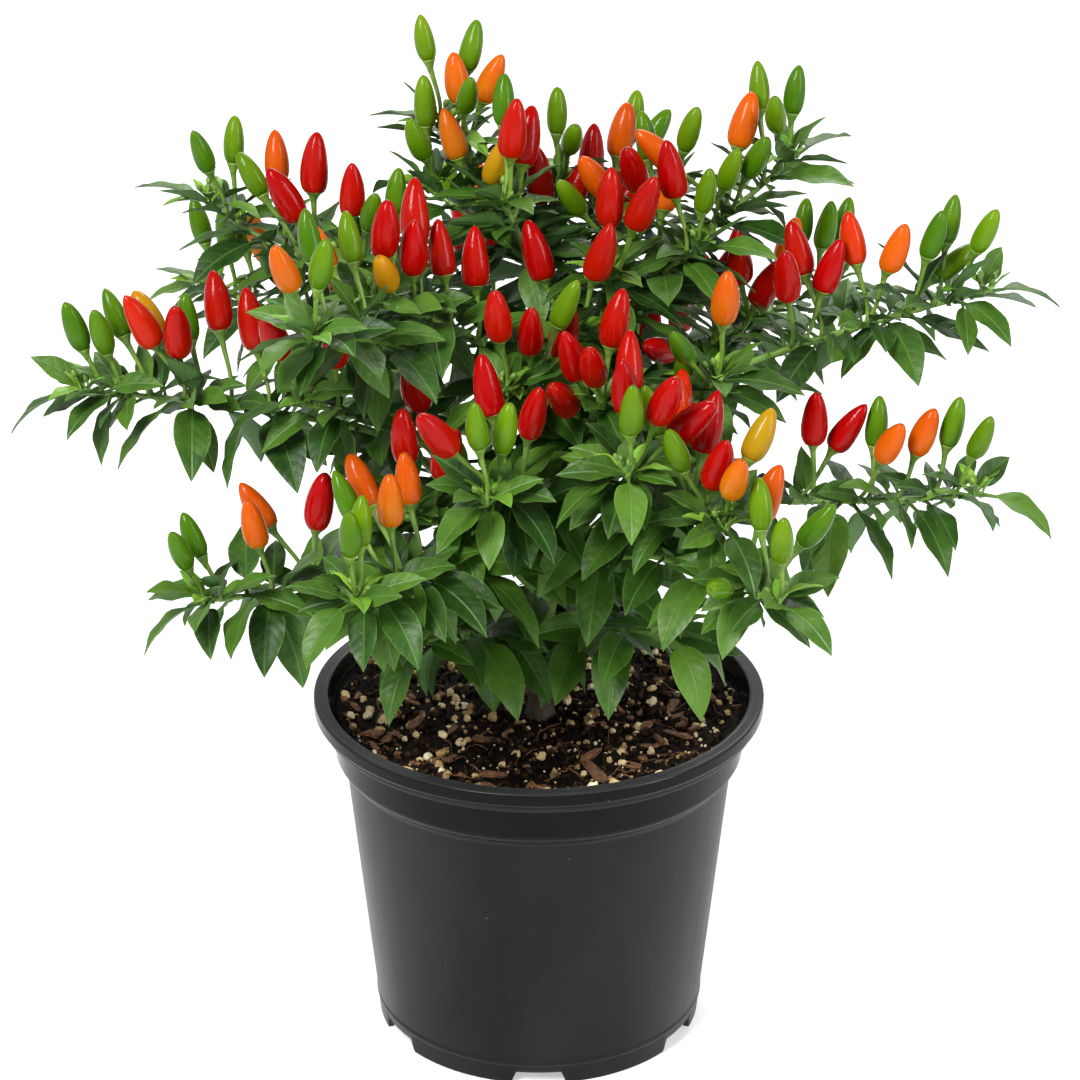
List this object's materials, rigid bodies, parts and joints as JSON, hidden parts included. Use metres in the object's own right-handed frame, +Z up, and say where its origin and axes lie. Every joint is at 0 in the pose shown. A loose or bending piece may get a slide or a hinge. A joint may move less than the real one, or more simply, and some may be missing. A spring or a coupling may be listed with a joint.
{
  "type": "potted chilli pepper plant",
  "caption": "Bushy dwarf chilli pepper plant with upright red, orange and green fruit, growing in soil in a round black nursery pot.",
  "frame": {"origin": "on the pot's axis, at the surface that the pot stands on; the middle of the plant's spread to within 1 mm", "axes": "+Z up along the pot's axis; the plant's front faces -Y, with +X to the right"},
  "size_m": [0.3764, 0.2998, 0.3845],
  "materials": {
    "pot_plastic": "satin black moulded plastic, a little paler where it is worn",
    "soil": "moist dark peat, crumbly",
    "perlite": "matte cream grains",
    "bark": "rough reddish chips",
    "stem": "smooth green stems, brown and corky at the foot",
    "foliage": "satin leaves with sunken veins, paler below",
    "fruit": "glossy skin, from green through orange to red"
  },
  "bodies": {
    "root": {"pot": "pot_plastic", "soil": "soil", "trunk": "stem", "spray_left_low": "foliage", "spray_front_left": "foliage", "spray_front_left_inner": "foliage", "spray_left_mid": "foliage", "spray_left_front": "foliage", "spray_left_inner": "foliage", "spray_left_high": "foliage", "spray_high_left": "foliage", "spray_high_left_front": "foliage", "spray_top_left": "foliage", "spray_top": "foliage", "spray_top_right": "foliage", "spray_top_back": "foliage", "spray_centre_high": "foliage", "spray_right_high": "foliage", "spray_high_right_inner": "foliage", "spray_high_right_back": "foliage", "spray_high_right": "foliage", "spray_right_mid": "foliage", "spray_right_back": "foliage", "spray_right_inner": "foliage", "spray_right_low": "foliage", "spray_front_right": "foliage", "spray_front_right_inner": "foliage", "spray_front_mid_right": "foliage", "spray_front_mid": "foliage", "spray_centre_left": "foliage", "spray_centre_right": "foliage", "spray_back_left": "foliage", "spray_back_mid": "foliage", "spray_back_right": "foliage", "spray_back_low_left": "foliage", "spray_back_low_right": "foliage", "spray_back_high": "foliage", "spray_low_left": "foliage", "spray_low_right": "foliage", "spray_low_back": "foliage"}
  },
  "joints": []
}
